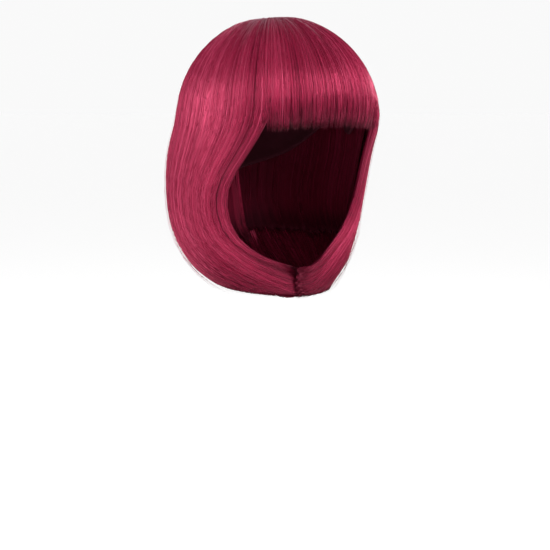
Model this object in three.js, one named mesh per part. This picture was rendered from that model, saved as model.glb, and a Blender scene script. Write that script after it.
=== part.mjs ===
// A straight bob wig with a full fringe: a thin net cap, a pale patch at the whorl, and the hair as
// sections of fused locks. Millimetres, +Z up. The face looks along -Y and the wearer's right is -X.
// The origin is the inside of the cap's crown, where the top of the head touches it.
import * as THREE from 'three';

// Head that the cap is made for
const HEAD_HALF_WIDTH = 75;
const HEAD_HALF_LENGTH = 92;
const HEAD_CROWN_HEIGHT = 84; // from the head's widest level up to its top

// Cap
const CAP_WALL = 1.5;
const CAP_SQUARENESS = 2.2;
const CAP_TAPER_SIDE = 0.06; // how much the cap draws in at its lowest level, as a share of its width
const CAP_TAPER_BACK = 0.2;
const CAP_DEPTH = 142; // from the crown down to the nape edge
const CAP_EDGE_MARGIN = 6; // hair keeps clear of the cap this far under its edge

// Patch under the whorl
const PATCH_RADIUS = 16;
const PATCH_WALL = 0.9;

// Clearance between neighbouring pieces
const SEAM_GAP = 0.4;

// How far the hair stands out from the cap
const TOP_VOLUME = 10;
const SIDE_VOLUME = 16.5;
const FRONT_VOLUME = 24.5;
const BACK_VOLUME = 14.5;
const DOME_DROP = 7; // the hair is widest this far below the head's widest level
const FALL_HEIGHT = 172; // from there down to the tips
const WHORL_BACK = 8; // the whorl sits this far behind the crown
const WHORL_RADIUS = 8; // bare ring in the middle of the whorl
const WHORL_DIP = 4.6; // how far the hair sinks towards the whorl
const WHORL_DIP_RADIUS = 28;

// Layers
const LAYER_THICKNESS = 6.5;
const ROOT_THICKNESS = 1.6;
const TIP_THICKNESS = 2.2;
const UNDER_THICKNESS = 4.5;
const UNDER_GAP = 1.4; // between the outer and the inner layer
const FADE_SHARE = 0.16; // roots and tips thin out over this share of the path
const CLEARANCE_SHARE = 0.93; // of the room over the cap that a section may fill

// Fringe
const FRINGE_HALF_ANGLE = 40;
const FRINGE_CURL = 0.07; // how far its end turns in, as a share of its reach
const FRINGE_CURL_ANGLE = 60; // degrees down the dome
const FRINGE_END_ANGLE_MIDDLE = 93.5;
const FRINGE_END_ANGLE_TEMPLE = 95.5;
const FRINGE_LENGTH = 175;

// Locks
const LOCK_DEPTH = 1.3; // of the furrow between two locks
const LOCK_TIP_STEP = 6; // furrows end this much higher than the locks beside them
const LOCK_FULL_RADIUS = 70; // locks flatten towards the whorl inside this radius
const CREST_START = 0.3; // a lock is full between these shares of its width
const CREST_END = 0.68;
// How much locks differ in width, height and end, and how fast each changes from lock to lock.
const LOCK_RHYTHM = {
  width: { share: 0.28, turn: 2.4 },
  height: { share: 0.15, turn: 3.9 },
  end: { share: 0.3, turn: 5.1 },
};

// Split of the side and back hair, as shares of the way round from the back to the face edge
const BACK_SHARE = 0.42;
const UNDER_EDGE_SHARE = 0.92; // the inner layer stops a little short of the face edge
const UNDER_START_SHARE = 0.35; // and runs between these shares of the way to the tips
const UNDER_END_SHARE = 0.82;
const UNDER_FLARE = 0.23; // how far its right edge is carried forward
const UNDER_FLARE_START = 0.36; // from this share of its length on, fully at twice this share
const STRAND_LENGTH = 340;
const UNDER_LENGTH = STRAND_LENGTH * (UNDER_END_SHARE - UNDER_START_SHARE);

const DEGREE = Math.PI / 180;
const DOME_LEVEL = -(HEAD_CROWN_HEIGHT + DOME_DROP);
const DOME_HEIGHT = CAP_WALL + TOP_VOLUME - DOME_LEVEL;
const HAIR_HALF_WIDTH = HEAD_HALF_WIDTH + CAP_WALL + SIDE_VOLUME;
const HAIR_FRONT = HEAD_HALF_LENGTH + CAP_WALL + FRONT_VOLUME;
const HAIR_BACK = HEAD_HALF_LENGTH + CAP_WALL + BACK_VOLUME;
const DOME_SHARE = 0.465; // of a strand's length that lies on the dome
const LIFT_POWER = 9; // how closely the lift keeps to the face edge

// Sections of the hair below its dome, from its widest level to the tips, one a row.
// path: share of the way to the tips. drop: share of FALL_HEIGHT. width, front, back: shares of
// HAIR_HALF_WIDTH, HAIR_FRONT and HAIR_BACK. square: squareness. edge: angle of the left face edge from
// straight ahead. setback: how much further back the right one is. lift, nape: how much higher the face
// edge and the back lie, as shares of FALL_HEIGHT. sweep: how far the hair between back and edge is
// carried forward.
const SECTION_COLUMNS = 'path drop width front back square edge setback lift nape sweep'.split(' ');
const SECTIONS = [
  [0.0, 0.0, 1.0, 1.0, 1.0, 2.05, 40, 0, 0.0, 0.0, 0.0],
  [0.17, 0.18, 1.035, 0.7, 1.07, 2.35, 48, 4, 0.0, 0.0, 0.0],
  [0.33, 0.36, 1.03, 0.53, 1.075, 2.55, 57, 9, 0.0, 0.0, 0.0],
  [0.48, 0.525, 1.005, 0.44, 1.05, 2.6, 58, 10, 0.0, 0.0, 0.0],
  [0.6, 0.655, 0.965, 0.425, 1.01, 2.5, 51, 13, 0.01, 0.0, 0.05],
  [0.7, 0.755, 0.9, 0.43, 0.95, 2.4, 38, 17, 0.04, 0.0, 0.15],
  [0.8, 0.855, 0.795, 0.445, 0.87, 2.25, 27, 16, 0.085, 0.008, 0.32],
  [0.88, 0.92, 0.715, 0.45, 0.76, 2.1, 19, 9, 0.12, 0.022, 0.5],
  [0.94, 0.965, 0.65, 0.46, 0.645, 2.0, 9, 6, 0.15, 0.042, 0.65],
  [1.0, 1.0, 0.58, 0.47, 0.52, 2.0, -3, 3, 0.17, 0.07, 0.78],
].map((row) => Object.fromEntries(row.map((value, k) => [SECTION_COLUMNS[k], value])));

// Lower edge of the cap. angle: from straight ahead. depth: share of CAP_DEPTH.
const CAP_EDGE = [
  { angle: 0, depth: 0.36 },
  { angle: 30, depth: 0.38 },
  { angle: 50, depth: 0.46 },
  { angle: 64, depth: 0.66 },
  { angle: 74, depth: 0.74 },
  { angle: 86, depth: 0.64 },
  { angle: 104, depth: 0.66 },
  { angle: 140, depth: 0.88 },
  { angle: 180, depth: 1.0 },
];

const clamp01 = (value) => Math.min(1, Math.max(0, value));
const smooth = (value) => clamp01(value) ** 2 * (3 - 2 * clamp01(value));
const mix = (a, b, share) => a + (b - a) * share;

// A smooth curve through one named column of a table.
function along(table, place, column, at) {
  const last = table.length - 1;
  let i = 0;
  while (i < last - 1 && table[i + 1][place] < at) i += 1;
  const slope = (k) => {
    const low = table[Math.max(0, k - 1)];
    const high = table[Math.min(last, k + 1)];
    return (high[column] - low[column]) / (high[place] - low[place]);
  };
  const span = table[i + 1][place] - table[i][place];
  const t = (at - table[i][place]) / span;
  const rise = 3 * t ** 2 - 2 * t ** 3;
  const bend = (t ** 3 - 2 * t ** 2 + t) * slope(i) + (t ** 3 - t ** 2) * slope(i + 1);
  return mix(table[i][column], table[i + 1][column], rise) + bend * span;
}

// Size of a point's plan against a superellipse: 1 on it, less inside.
function ringShare(x, y, width, front, back, square) {
  const reach = y < 0 ? front : back;
  return ((Math.abs(x) / width) ** square + (Math.abs(y) / reach) ** square) ** (1 / square);
}

// Distance from the axis to a superellipse, in a direction measured from straight ahead.
function ringRadius(angle, width, front, back, square) {
  const x = Math.sin(angle * DEGREE);
  const y = -Math.cos(angle * DEGREE);
  return 1 / ringShare(x, y, width, front, back, square);
}

// A point at a distance from the axis. Positive angles turn towards the wearer's left.
function polar(angle, radius, height) {
  return new THREE.Vector3(radius * Math.sin(angle * DEGREE), -radius * Math.cos(angle * DEGREE), height);
}

// The hair's outer surface on the dome, at an angle round the whorl, some degrees down from it.
function domePoint(angle, down) {
  const square = SECTIONS[0].square;
  const share = Math.sin(down * DEGREE);
  const rim = polar(angle, ringRadius(angle, HAIR_HALF_WIDTH, HAIR_FRONT, HAIR_BACK, square), 0);
  const x = rim.x * share;
  const y = mix(WHORL_BACK, rim.y, share);
  const size = Math.min(1, ringShare(x, y, HAIR_HALF_WIDTH, HAIR_FRONT, HAIR_BACK, square));
  const dip = WHORL_DIP * (1 - smooth(Math.hypot(x, y - WHORL_BACK) / WHORL_DIP_RADIUS));
  const height = DOME_HEIGHT * Math.sqrt(1 - size * size) * (down > 90 ? -1 : 1);
  return new THREE.Vector3(x, y, DOME_LEVEL + height - dip);
}

// The outer surface of the side and back hair. around: -1 at the wearer's left face edge, 0 at the
// back, 1 at the right face edge. path: 0 at the whorl, 1 at the tips.
function strandPoint(around, path) {
  const w = Math.abs(around);
  const side = around < 0 ? -1 : 1;
  if (path <= DOME_SHARE) {
    return domePoint(180 + side * (180 - SECTIONS[0].edge) * w, (90 * path) / DOME_SHARE);
  }
  const t = (path - DOME_SHARE) / (1 - DOME_SHARE);
  const at = (column) => along(SECTIONS, 'path', column, t);
  const forward = w + at('sweep') * w * (1 - w);
  const edge = at('edge') + (side > 0 ? at('setback') : 0);
  const angle = 180 + side * (180 - edge) * forward;
  const width = HAIR_HALF_WIDTH * at('width');
  const radius = ringRadius(angle, width, HAIR_FRONT * at('front'), HAIR_BACK * at('back'), at('square'));
  const raised = at('lift') * Math.min(1, w) ** LIFT_POWER + at('nape') * Math.max(0, 1 - w) ** 2;
  return polar(angle, radius, DOME_LEVEL - FALL_HEIGHT * (at('drop') - raised));
}

// The fringe's outer surface. across: -1 at the right temple, 1 at the left. path: 0 at the whorl, 1 at
// its end.
function fringePoint(across, path) {
  const end = mix(FRINGE_END_ANGLE_MIDDLE, FRINGE_END_ANGLE_TEMPLE, across * across);
  const down = end * path;
  const curl = clamp01((down - FRINGE_CURL_ANGLE) / (end - FRINGE_CURL_ANGLE));
  const point = domePoint(FRINGE_HALF_ANGLE * across, down);
  const drawIn = 1 - FRINGE_CURL * curl * curl;
  return new THREE.Vector3(point.x * drawIn, point.y * drawIn, point.z);
}

// Outward direction of a surface given as a function of two shares.
function outward(surface, u, v) {
  const step = 1e-3;
  const alongU = surface(u + step, v).sub(surface(u - step, v));
  const alongV = surface(u, v + step).sub(surface(u, v - step));
  return alongV.cross(alongU).normalize();
}

// How much the cap is drawn in below the head's widest level, in a direction from straight ahead.
function capTaper(angle, height) {
  const below = clamp01(-(height + HEAD_CROWN_HEIGHT) / (CAP_DEPTH - HEAD_CROWN_HEIGHT));
  const backness = smooth((Math.abs(angle) - 90) / 90);
  return 1 - mix(CAP_TAPER_SIDE, CAP_TAPER_BACK, backness) * below * below;
}

// The inside of the cap. down: 0 at the crown, 1 at the cap's lower edge.
function capInside(angle, down) {
  const folded = Math.abs(((((angle + 180) % 360) + 360) % 360) - 180);
  const edge = CAP_DEPTH * along(CAP_EDGE, 'angle', 'depth', folded);
  const edgeTurn = edge < HEAD_CROWN_HEIGHT ? Math.acos(1 - edge / HEAD_CROWN_HEIGHT) : Math.PI / 2;
  const turn = down * (edgeTurn + Math.max(0, edge - HEAD_CROWN_HEIGHT) / HEAD_CROWN_HEIGHT);
  const onDome = turn < Math.PI / 2;
  const height = HEAD_CROWN_HEIGHT * (onDome ? Math.cos(turn) - 1 : Math.PI / 2 - turn - 1);
  const share = onDome ? Math.sin(turn) : capTaper(folded, height);
  const ring = ringRadius(folded, HEAD_HALF_WIDTH, HEAD_HALF_LENGTH, HEAD_HALF_LENGTH, CAP_SQUARENESS);
  return polar(angle, ring * share, height);
}

// Rough distance from a point to the cap's outside. Under the cap's edge there is nothing to clear.
function capClearance(point) {
  const angle = Math.abs(Math.atan2(point.x, -point.y) / DEGREE);
  if (-point.z > CAP_DEPTH * along(CAP_EDGE, 'angle', 'depth', angle) + CAP_EDGE_MARGIN) return Infinity;
  const taper = capTaper(angle, point.z);
  const width = (HEAD_HALF_WIDTH + CAP_WALL) * taper;
  const length = (HEAD_HALF_LENGTH + CAP_WALL) * taper;
  const ring = ringShare(point.x, point.y, width, length, length, CAP_SQUARENESS);
  const above = Math.max(0, point.z + HEAD_CROWN_HEIGHT);
  const size = Math.hypot(ring, above / (HEAD_CROWN_HEIGHT + CAP_WALL));
  return Math.hypot(point.x, point.y, above) * (1 - 1 / size);
}

// Geometry from points and triangles, with unused points left out.
function solidGeometry(points, triangles) {
  const used = new Map();
  const positions = [];
  const index = triangles.flat().map((k) => {
    if (!used.has(k)) {
      used.set(k, positions.length / 3);
      positions.push(...points[k].toArray());
    }
    return used.get(k);
  });
  const geometry = new THREE.BufferGeometry();
  geometry.setAttribute('position', new THREE.Float32BufferAttribute(positions, 3));
  geometry.setIndex(index);
  geometry.computeVertexNormals();
  return geometry;
}

// A closed solid between an outer and an inner grid of points, which have equal rows and columns. wrap:
// the last column meets the first. pole: the first row is one point.
function sheetSolid(outer, inner, { wrap = false, pole = false } = {}) {
  const rows = outer.length;
  const columns = outer[0].length;
  const half = rows * columns;
  const triangles = [];
  const place = (row, column) => (pole && row === 0 ? 0 : column % columns);
  const id = (layer, row, column) => layer * half + row * columns + place(row, column);
  const quad = (a, b, c, d) => {
    if (a !== b) triangles.push([a, c, b]);
    if (c !== d) triangles.push([a, d, c]);
  };
  const last = rows - 1;
  const spans = wrap ? columns : columns - 1;
  for (let column = 0; column < spans; column += 1) {
    for (let row = 0; row < last; row += 1) {
      quad(id(0, row, column), id(0, row, column + 1), id(0, row + 1, column + 1), id(0, row + 1, column));
      quad(id(1, row, column + 1), id(1, row, column), id(1, row + 1, column), id(1, row + 1, column + 1));
    }
    quad(id(0, last, column), id(0, last, column + 1), id(1, last, column + 1), id(1, last, column));
    if (!pole) quad(id(0, 0, column + 1), id(0, 0, column), id(1, 0, column), id(1, 0, column + 1));
  }
  if (!wrap) {
    const far = columns - 1;
    for (let row = 0; row < last; row += 1) {
      quad(id(0, row, 0), id(0, row + 1, 0), id(1, row + 1, 0), id(1, row, 0));
      quad(id(0, row + 1, far), id(0, row, far), id(1, row, far), id(1, row + 1, far));
    }
  }
  return solidGeometry([...outer.flat(), ...inner.flat()], triangles);
}

// Where the columns of a run of locks lie: share across the run, height over the furrows, and how far
// its end stands back from the longest lock. phase: turns the rhythm of the locks.
function lockColumns(count, phase) {
  const { width, height, end } = LOCK_RHYTHM;
  const widths = Array.from({ length: count }, (_, k) => 1 + width.share * Math.sin(width.turn * k + phase));
  const total = widths.reduce((sum, lockWidth) => sum + lockWidth, 0);
  const columns = [];
  let start = 0;
  widths.forEach((lockWidth, k) => {
    const crest = LOCK_DEPTH * (1 - height.share + height.share * Math.sin(height.turn * k));
    const shorter = LOCK_TIP_STEP * end.share * (1 + Math.sin(end.turn * k + 2 * phase));
    columns.push({ share: start / total, height: 0, back: LOCK_TIP_STEP });
    columns.push({ share: (start + lockWidth * CREST_START) / total, height: crest, back: shorter });
    columns.push({ share: (start + lockWidth * CREST_END) / total, height: crest, back: shorter });
    start += lockWidth;
  });
  columns.push({ share: 1, height: 0, back: LOCK_TIP_STEP });
  return columns;
}

// A section of hair as a solid of fused locks. surface(across, path) is its outer form; from and to are
// its bounds across, and each stands half a seam gap back from its neighbour. start: where its roots
// begin on the path. length: of a whole strand. full: thickness of the layer where it is thickest.
// mirrored: its locks run the other way round.
function hairSection({ surface, from, to, locks, phase, mirrored = false, rows, start, length, full }) {
  const columns = lockColumns(locks, phase);
  if (mirrored) {
    columns.reverse();
    columns.forEach((column) => {
      column.share = 1 - column.share;
    });
  }
  const middle = (from + to) / 2;
  const probe = 0.01;
  const outer = [];
  const inner = [];
  for (let row = 0; row < rows; row += 1) {
    const outerRow = [];
    const innerRow = [];
    columns.forEach((column) => {
      const end = 1 - column.back / length;
      const path = mix(start, end, row / (rows - 1));
      const width = surface(middle + probe, path).distanceTo(surface(middle - probe, path)) / (2 * probe);
      const across = mix(from + SEAM_GAP / width, to - SEAM_GAP / width, column.share);
      const base = surface(across, path);
      const normal = outward(surface, across, path);
      const fullness = Math.min(1, Math.hypot(base.x, base.y) / LOCK_FULL_RADIUS);
      const roots = mix(ROOT_THICKNESS, full, smooth((path - start) / FADE_SHARE));
      const tips = mix(TIP_THICKNESS, roots, smooth((end - path) / FADE_SHARE));
      const thickness = Math.min(tips, capClearance(base) * CLEARANCE_SHARE - SEAM_GAP - LOCK_DEPTH);
      outerRow.push(base.clone().addScaledVector(normal, (column.height - LOCK_DEPTH) * fullness));
      innerRow.push(base.clone().addScaledVector(normal, -thickness - LOCK_DEPTH));
    });
    outer.push(outerRow);
    inner.push(innerRow);
  }
  return sheetSolid(outer, inner);
}

// Outer form of the inner layer: inside the outer layer by its thickness and a gap. Below the temple its
// right edge comes out in front of the outer layer's, along the cheek.
function underPoint(around, path) {
  const inset = LAYER_THICKNESS + LOCK_DEPTH + UNDER_GAP;
  const place = mix(UNDER_START_SHARE, UNDER_END_SHARE, path);
  const flare = UNDER_FLARE * smooth((path - UNDER_FLARE_START) / UNDER_FLARE_START);
  const turned = around + flare * Math.max(0, around) ** 3;
  return strandPoint(turned, place).addScaledVector(outward(strandPoint, turned, place), -inset);
}

const material = (color, roughness) => new THREE.MeshStandardMaterial({ color, roughness, metalness: 0 });
const HAIR_MATERIAL = material(0x9b2a4e, 0.45);
const UNDER_MATERIAL = material(0x6a1430, 0.5);
const NET_MATERIAL = material(0x3a1420, 0.85);
const PATCH_MATERIAL = material(0xd9c3b8, 0.8);

function mesh(name, geometry, surfaceMaterial) {
  const made = new THREE.Mesh(geometry, surfaceMaterial);
  made.name = name;
  return made;
}

// A wall of even thickness standing on the outside of the cap form, from its pole down.
function capShell(columns, rows, reach, offset, wall) {
  const surface = (u, v) => capInside(360 * u, v);
  const outer = [];
  const inner = [];
  for (let row = 0; row < rows; row += 1) {
    const down = (reach * row) / (rows - 1);
    const insideRow = [];
    const outsideRow = [];
    for (let column = 0; column < columns; column += 1) {
      const base = surface(column / columns, down);
      const normal = row === 0 ? new THREE.Vector3(0, 0, 1) : outward(surface, column / columns, down);
      insideRow.push(base.clone().addScaledVector(normal, offset));
      outsideRow.push(base.clone().addScaledVector(normal, offset + wall));
    }
    inner.push(insideRow);
    outer.push(outsideRow);
  }
  return sheetSolid(outer, inner, { wrap: true, pole: true });
}

// The patch follows the cap's outside. Its rings are centred on the whorl.
function patchGeometry() {
  const columns = 24;
  const rings = [0, 0.4, 0.75, 1];
  const surface = (u, v) => {
    const x = PATCH_RADIUS * v * Math.sin(360 * u * DEGREE);
    const y = WHORL_BACK - PATCH_RADIUS * v * Math.cos(360 * u * DEGREE);
    const size = ringShare(x, y, HEAD_HALF_WIDTH, HEAD_HALF_LENGTH, HEAD_HALF_LENGTH, CAP_SQUARENESS);
    return new THREE.Vector3(x, y, HEAD_CROWN_HEIGHT * (Math.sqrt(1 - size * size) - 1));
  };
  const layer = (offset) =>
    rings.map((v) =>
      Array.from({ length: columns }, (_, column) => {
        const normal = v === 0 ? new THREE.Vector3(0, 0, 1) : outward(surface, column / columns, v);
        return surface(column / columns, v).addScaledVector(normal, offset);
      }),
    );
  const low = CAP_WALL + SEAM_GAP;
  return sheetSolid(layer(low + PATCH_WALL), layer(low), { wrap: true, pole: true });
}

const whorlDown = (end) => Math.asin(WHORL_RADIUS / HAIR_HALF_WIDTH) / DEGREE / end;
const sideStart = whorlDown(90) * DOME_SHARE;
const outerLayer = {
  surface: strandPoint,
  start: sideStart,
  length: STRAND_LENGTH,
  full: LAYER_THICKNESS,
  rows: 18,
};
const underLayer = {
  surface: underPoint,
  start: 0,
  length: UNDER_LENGTH,
  full: UNDER_THICKNESS,
  rows: 11,
};

const fringe = hairSection({
  surface: fringePoint,
  from: -1,
  to: 1,
  locks: 10,
  phase: 0.7,
  rows: 11,
  start: whorlDown(FRINGE_END_ANGLE_MIDDLE),
  length: FRINGE_LENGTH,
  full: LAYER_THICKNESS,
});
const sideLeft = hairSection({ ...outerLayer, from: -1, to: -BACK_SHARE, locks: 8, phase: 1.0 });
const back = hairSection({ ...outerLayer, from: -BACK_SHARE, to: BACK_SHARE, locks: 11, phase: 0.7 });
const rightLocks = { locks: 8, phase: 1.6, mirrored: true };
const sideRight = hairSection({ ...outerLayer, from: BACK_SHARE, to: 1, ...rightLocks });
const underEdge = UNDER_EDGE_SHARE;
const underLeft = hairSection({ ...underLayer, from: -underEdge, to: -BACK_SHARE, locks: 5, phase: 0.2 });
const underBack = hairSection({ ...underLayer, from: -BACK_SHARE, to: BACK_SHARE, locks: 8, phase: 1.1 });
const underRight = hairSection({ ...underLayer, from: BACK_SHARE, to: underEdge, locks: 5, phase: 1.6 });

const group = new THREE.Group();
group.add(mesh('cap', capShell(44, 10, 1, 0, CAP_WALL), NET_MATERIAL));
group.add(mesh('crown_patch', patchGeometry(), PATCH_MATERIAL));
group.add(mesh('fringe', fringe, HAIR_MATERIAL));
group.add(mesh('side_left', sideLeft, HAIR_MATERIAL));
group.add(mesh('back', back, HAIR_MATERIAL));
group.add(mesh('side_right', sideRight, HAIR_MATERIAL));
group.add(mesh('under_left', underLeft, UNDER_MATERIAL));
group.add(mesh('under_back', underBack, UNDER_MATERIAL));
group.add(mesh('under_right', underRight, UNDER_MATERIAL));

export default group;
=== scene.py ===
import math

import bpy
import numpy as np
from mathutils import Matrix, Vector


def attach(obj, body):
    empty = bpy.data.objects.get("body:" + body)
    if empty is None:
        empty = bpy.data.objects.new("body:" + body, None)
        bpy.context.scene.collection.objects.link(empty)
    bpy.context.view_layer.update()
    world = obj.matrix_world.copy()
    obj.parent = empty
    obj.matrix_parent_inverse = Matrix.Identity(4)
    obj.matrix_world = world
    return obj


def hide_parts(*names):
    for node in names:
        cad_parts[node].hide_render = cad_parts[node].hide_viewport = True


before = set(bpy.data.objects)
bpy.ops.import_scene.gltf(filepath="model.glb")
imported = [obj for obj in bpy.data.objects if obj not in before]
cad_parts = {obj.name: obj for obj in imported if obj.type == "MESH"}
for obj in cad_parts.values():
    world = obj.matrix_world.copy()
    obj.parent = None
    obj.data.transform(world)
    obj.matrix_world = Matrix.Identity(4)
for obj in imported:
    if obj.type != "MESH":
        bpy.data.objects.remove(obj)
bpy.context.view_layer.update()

MM = 0.001

# Cap, and the head form that it fits. Every GRID is columns and rows.
HEAD_HALF_WIDTH = 75.0
HEAD_HALF_LENGTH = 92.0
HEAD_CROWN_HEIGHT = 84.0
CAP_WALL = 1.5
CAP_SQUARENESS = 2.2
CAP_TAPER_SIDE = 0.06
CAP_TAPER_BACK = 0.2
CAP_DEPTH = 142.0
CAP_GRID = (160, 56)
HEM_EDGE = (0.955, 0.975)
HEM_RISE = 0.5

# Patch under the whorl
PATCH_RADIUS = 16.0
PATCH_LOW = 1.9
PATCH_WALL = 0.9
PATCH_GRID = (72, 16)

# The hair's outer form. The volumes are how far it stands out from the cap.
TOP_VOLUME = 10.0
SIDE_VOLUME = 16.5
FRONT_VOLUME = 24.5
BACK_VOLUME = 14.5
DOME_DROP = 7.0
HAIR_HALF_WIDTH = HEAD_HALF_WIDTH + CAP_WALL + SIDE_VOLUME
HAIR_FRONT = HEAD_HALF_LENGTH + CAP_WALL + FRONT_VOLUME
HAIR_BACK = HEAD_HALF_LENGTH + CAP_WALL + BACK_VOLUME
DOME_LEVEL = -(HEAD_CROWN_HEIGHT + DOME_DROP)
DOME_HEIGHT = CAP_WALL + TOP_VOLUME - DOME_LEVEL
DOME_SHARE = 0.465
FALL_HEIGHT = 172.0
LIFT_POWER = 9
STRAND_LENGTH = 340.0
WHORL_BACK = 8.0
WHORL_DIP = 4.6
WHORL_DIP_RADIUS = 28.0
BACK_SHARE = 0.42
FRINGE_HALF_ANGLE = 40.0
FRINGE_CURL = 0.07
FRINGE_CURL_START = 60.0
FRINGE_END_MIDDLE = 93.5
FRINGE_END_TEMPLE = 95.5
FRINGE_LENGTH = 175.0
FRINGE_HELD = (0.85, 1.0)  # towards the temples its end isn't drawn in

# The inner layer, inside the outer one
UNDER_INSET = 9.2
UNDER_THICKNESS = 4.5
UNDER_EDGE_SHARE = 0.92
UNDER_START_SHARE = 0.35
UNDER_END_SHARE = 0.82
UNDER_LENGTH = STRAND_LENGTH * (UNDER_END_SHARE - UNDER_START_SHARE)
UNDER_FLARE = 0.23
UNDER_FLARE_START = 0.36

# The way of the strands over that form. BEND: how its bends are rounded off. FACE_SIDE and FACE_RIM: where
# across it the strands beside the face grow longer and, at the very edge, shorter. FLARE_PATH: where along
# them they stand further out. LEVEL_OUT: how much of its slope the added length loses.
BEND_STEP = 9.0
BEND_WEIGHTS = {-2: 0.0625, -1: 0.25, 0: 0.375, 1: 0.25, 2: 0.0625}
FACE_SIDE = (0.62, 0.9)
FACE_RIM = (0.9, 1.0)
FLARE_PATH = (0.75, 1.0)
LEVEL_OUT = 0.5
AXIS_REACH = 20.0

# Pale roots, partly painted sheen. INSIDE and FADE: how far from the whorl they are palest, and over how far
# they fade. ALONG: how much further that is forwards and back than sideways, as painted sheen. REACH: how
# much single strands differ in it.
PALE_INSIDE = 10.0
PALE_FADE = 34.0
PALE_ALONG = 1.3
PALE_MOST = 0.75
PALE_REACH = (0.2, 2.0)
PALE_RARITY = 1.5
PALE_MASS_INSIDE = 4.0
PALE_MASS_FADE = 10.0
PALE_MASS_MOST = 0.8

# Sections of the hair below its dome, from its widest level to the tips, one a row. path and drop: shares
# of the way and of FALL_HEIGHT. width, front, back: shares of the reaches above. square: squareness.
# edge: angle of the left face edge from straight ahead. setback: how much further back the right one is.
# lift, nape: how much higher the face edge and the back lie. sweep: how far the hair between the back and
# that edge is carried forward.
SECTION_COLUMNS = "path drop width front back square edge setback lift nape sweep".split()
SECTION_ROWS = (
    (0.00, 0.000, 1.000, 1.000, 1.000, 2.05, 40, 0, 0.000, 0.000, 0.00),
    (0.17, 0.180, 1.035, 0.700, 1.070, 2.35, 48, 4, 0.000, 0.000, 0.00),
    (0.33, 0.360, 1.030, 0.530, 1.075, 2.55, 57, 9, 0.000, 0.000, 0.00),
    (0.48, 0.525, 1.005, 0.440, 1.050, 2.60, 58, 10, 0.000, 0.000, 0.00),
    (0.60, 0.655, 0.965, 0.425, 1.010, 2.50, 51, 13, 0.010, 0.000, 0.05),
    (0.70, 0.755, 0.900, 0.430, 0.950, 2.40, 38, 17, 0.040, 0.000, 0.15),
    (0.80, 0.855, 0.795, 0.445, 0.870, 2.25, 27, 16, 0.085, 0.008, 0.32),
    (0.88, 0.920, 0.715, 0.450, 0.760, 2.10, 19, 9, 0.120, 0.022, 0.50),
    (0.94, 0.965, 0.650, 0.460, 0.645, 2.00, 9, 6, 0.150, 0.042, 0.65),
    (1.00, 1.000, 0.580, 0.470, 0.520, 2.00, -3, 3, 0.170, 0.070, 0.78),
)
SECTIONS = {name: np.array([row[k] for row in SECTION_ROWS]) for k, name in enumerate(SECTION_COLUMNS)}

# Lower edge of the cap: angle from straight ahead, and share of CAP_DEPTH.
CAP_EDGE = {
    "angle": np.array([0.0, 30.0, 50.0, 64.0, 74.0, 86.0, 104.0, 140.0, 180.0]),
    "depth": np.array([0.36, 0.38, 0.46, 0.66, 0.74, 0.64, 0.66, 0.88, 1.0]),
}


def along(table, place, column, at):
    """A smooth curve through one named column of a table."""
    xs = table[place]
    ys = table[column]
    slopes = np.empty_like(ys)
    slopes[1:-1] = (ys[2:] - ys[:-2]) / (xs[2:] - xs[:-2])
    slopes[0] = (ys[1] - ys[0]) / (xs[1] - xs[0])
    slopes[-1] = (ys[-1] - ys[-2]) / (xs[-1] - xs[-2])
    i = np.clip(np.searchsorted(xs, at, side="left") - 1, 0, len(xs) - 2)
    span = xs[i + 1] - xs[i]
    t = (at - xs[i]) / span
    start = (2 * t**3 - 3 * t**2 + 1) * ys[i] + (t**3 - 2 * t**2 + t) * span * slopes[i]
    end = (3 * t**2 - 2 * t**3) * ys[i + 1] + (t**3 - t**2) * span * slopes[i + 1]
    return start + end


def smooth(value):
    """A soft step from 0 to 1."""
    held = np.clip(value, 0, 1)
    return held**2 * (3 - 2 * held)


def eased(value, window):
    """A soft step from 0 at the window's first number to 1 at its second."""
    start, end = window
    return smooth((value - start) / (end - start))


def mix(a, b, share):
    """From a to b."""
    return a + (b - a) * share


def ring_share(x, y, width, front, back, square):
    """Size of a point's plan against a superellipse: 1 on it, less inside."""
    reach = np.where(y < 0, front, back)
    return ((np.abs(x) / width) ** square + (np.abs(y) / reach) ** square) ** (1 / square)


def polar(angle, radius, height):
    """Points at a distance from the axis. Positive angles turn towards the wearer's left."""
    turn = np.radians(angle)
    return np.stack([radius * np.sin(turn), -radius * np.cos(turn), height + 0 * turn], axis=-1)


def ring_radius(angle, width, front, back, square):
    """Distance from the axis to a superellipse, in a direction measured from straight ahead."""
    turn = np.radians(angle)
    return 1 / ring_share(np.sin(turn), -np.cos(turn), width, front, back, square)


def dome_point(angle, down):
    """The hair's outer surface on its dome, at an angle round the whorl, some degrees down from it."""
    square = SECTIONS["square"][0]
    share = np.sin(np.radians(down))
    rim = polar(angle, ring_radius(angle, HAIR_HALF_WIDTH, HAIR_FRONT, HAIR_BACK, square), 0)
    x = rim[..., 0] * share
    y = mix(WHORL_BACK, rim[..., 1], share)
    size = np.minimum(1, ring_share(x, y, HAIR_HALF_WIDTH, HAIR_FRONT, HAIR_BACK, square))
    dip = WHORL_DIP * (1 - smooth(np.hypot(x, y - WHORL_BACK) / WHORL_DIP_RADIUS))
    height = DOME_HEIGHT * np.sqrt(1 - size * size) * np.where(down > 90, -1, 1)
    return np.stack([x, y, DOME_LEVEL + height - dip], axis=-1)


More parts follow.
